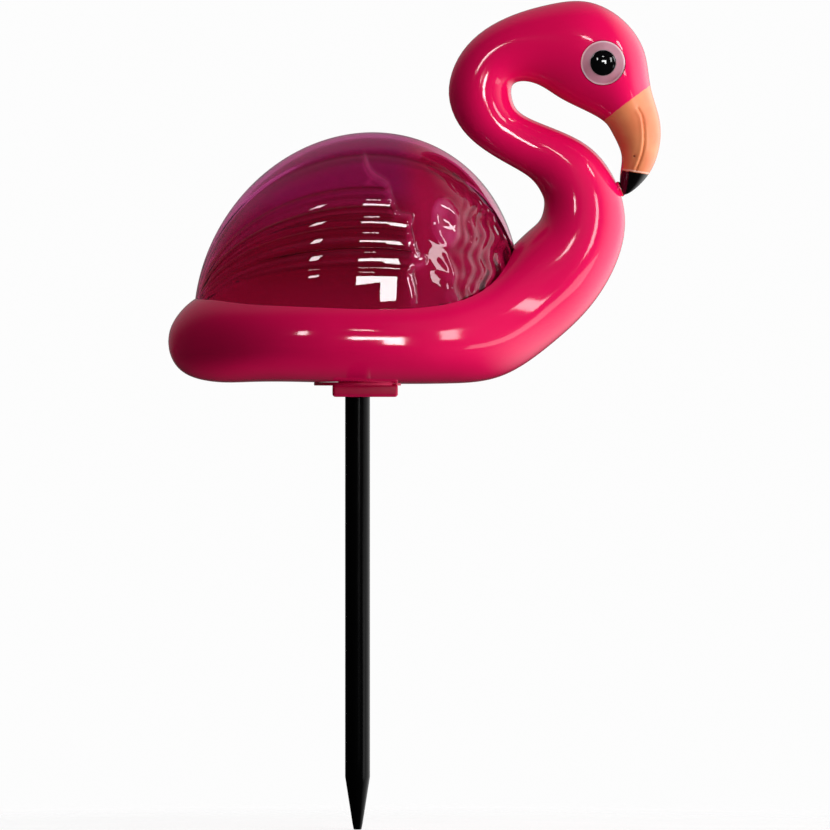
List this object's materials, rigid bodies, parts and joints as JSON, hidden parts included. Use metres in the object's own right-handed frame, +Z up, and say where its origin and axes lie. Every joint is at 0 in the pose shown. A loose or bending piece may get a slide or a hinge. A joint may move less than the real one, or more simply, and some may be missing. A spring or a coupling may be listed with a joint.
{
  "type": "solar stake light",
  "caption": "Garden stake light: a glossy pink moulded flamingo with a see-through magenta dome for a back, on a round black ground stake.",
  "frame": {"origin": "centre of the small flat end of the stake's point", "axes": "+Z up along the stake, +X towards the beak, +Y to the bird's left"},
  "size_m": [0.2374, 0.1222, 0.3994],
  "materials": {
    "pink_gloss_plastic": "glossy moulded hot pink plastic, the beak painted peach with a black tip",
    "dome_magenta": "glossy see-through magenta plastic, purple towards the top",
    "socket_pink": "satin pink plastic",
    "stake_black": "satin black plastic",
    "eye_white": "satin pinkish white plastic",
    "pupil_black": "glossy black plastic"
  },
  "bodies": {
    "root": {"body": "pink_gloss_plastic", "dome": "dome_magenta", "socket": "socket_pink", "stake": "stake_black", "eye_white_left": "eye_white", "eye_white_right": "eye_white", "pupil_left": "pupil_black", "pupil_right": "pupil_black"}
  },
  "joints": []
}
